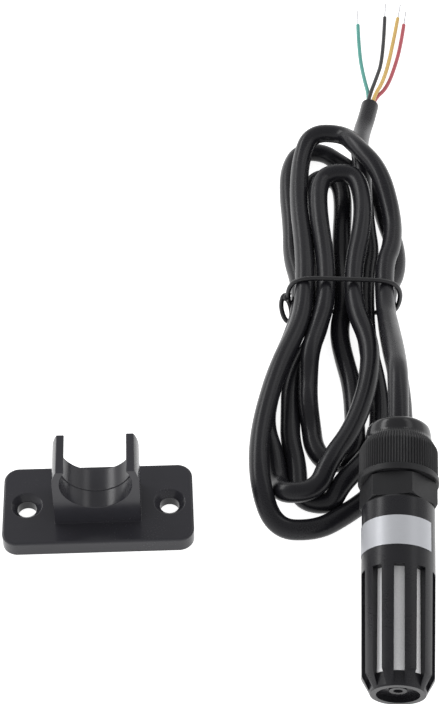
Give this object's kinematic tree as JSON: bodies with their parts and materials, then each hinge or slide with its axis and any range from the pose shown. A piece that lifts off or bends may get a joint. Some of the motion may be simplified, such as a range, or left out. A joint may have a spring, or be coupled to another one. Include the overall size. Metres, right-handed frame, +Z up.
{
  "type": "environmental sensor module",
  "caption": "Slotted humidity and temperature probe with a cable gland, a long tied cable ending in four stripped cores, and a screw-down clip bracket",
  "frame": {"origin": "centre of the bracket's underside, on the table", "axes": "X along the bracket's long side, Y along its clip's bore, Z up from the table"},
  "size_m": [0.1116, 0.2418, 0.0271],
  "materials": {
    "bracket_plastic": "moulded plastic, glossy",
    "housing_plastic": "moulded plastic, semi-gloss",
    "label_foil": "bare silver foil sticker",
    "filter_mesh": "pale porous filter",
    "gland_nylon": "matt nylon",
    "claw_nylon": "matt nylon",
    "seal_rubber": "soft rubber",
    "gasket_rubber": "soft rubber",
    "cable_jacket": "satin soft sheath",
    "board_laminate": "solder-masked laminate",
    "sensor_lid": "metal lid",
    "chip_resin": "moulded resin",
    "tinned_metal": "tinned",
    "tie_wire": "plastic-coated wire",
    "core_green": "smooth insulation",
    "core_black": "smooth insulation",
    "core_yellow": "smooth insulation",
    "core_red": "smooth insulation"
  },
  "bodies": {
    "gland_and_cable": {"gland_body": "gland_nylon", "bracket": "bracket_plastic", "housing_gasket": "gasket_rubber", "cable_inlet": "cable_jacket", "circuit_board": "board_laminate", "sensor_chip": "sensor_lid", "board_parts": "chip_resin", "solder_joints": "tinned_metal", "inner_wire_green": "core_green", "inner_wire_black": "core_black", "inner_wire_yellow": "core_yellow", "inner_wire_red": "core_red", "cable_run": "cable_jacket", "cable_hank": "cable_jacket", "cable_tail": "cable_jacket", "lead_green": "core_green", "lead_black": "core_black", "lead_yellow": "core_yellow", "lead_red": "core_red", "bare_tips": "tinned_metal", "twist_tie": "tie_wire"},
    "nut_carrier": {"clamp_claw": "claw_nylon", "seal_bush": "seal_rubber"},
    "nut": {"sealing_nut": "gland_nylon"},
    "housing_carrier": {"filter_sleeve": "filter_mesh"},
    "housing": {"sensor_housing": "housing_plastic", "label": "label_foil"}
  },
  "joints": [
    {"name": "nut_travel", "type": "slide", "parent": "gland_and_cable", "child": "nut_carrier", "axis": [0.087, 0.9743, 0.2079], "range_m": [0, 0.00508]},
    {"name": "nut_turn", "type": "hinge", "parent": "nut_carrier", "child": "nut", "pos_m": [0.06728, -0.00112, 0.01826], "axis": [0.087, 0.9743, 0.2079], "range_deg": [0, 1440]},
    {"name": "housing_travel", "type": "slide", "parent": "gland_and_cable", "child": "housing_carrier", "axis": [-0.087, -0.9743, -0.2079], "range_m": [0, 0.00762]},
    {"name": "housing_turn", "type": "hinge", "parent": "housing_carrier", "child": "housing", "pos_m": [0.06433, -0.03424, 0.01119], "axis": [-0.087, -0.9743, -0.2079], "range_deg": [0, 2160]}
  ],
  "couplings": [
    {"joint": "nut_turn", "follows": "nut_travel", "rad_per_m": 4947.4},
    {"joint": "housing_turn", "follows": "housing_travel", "rad_per_m": 4947.4}
  ]
}
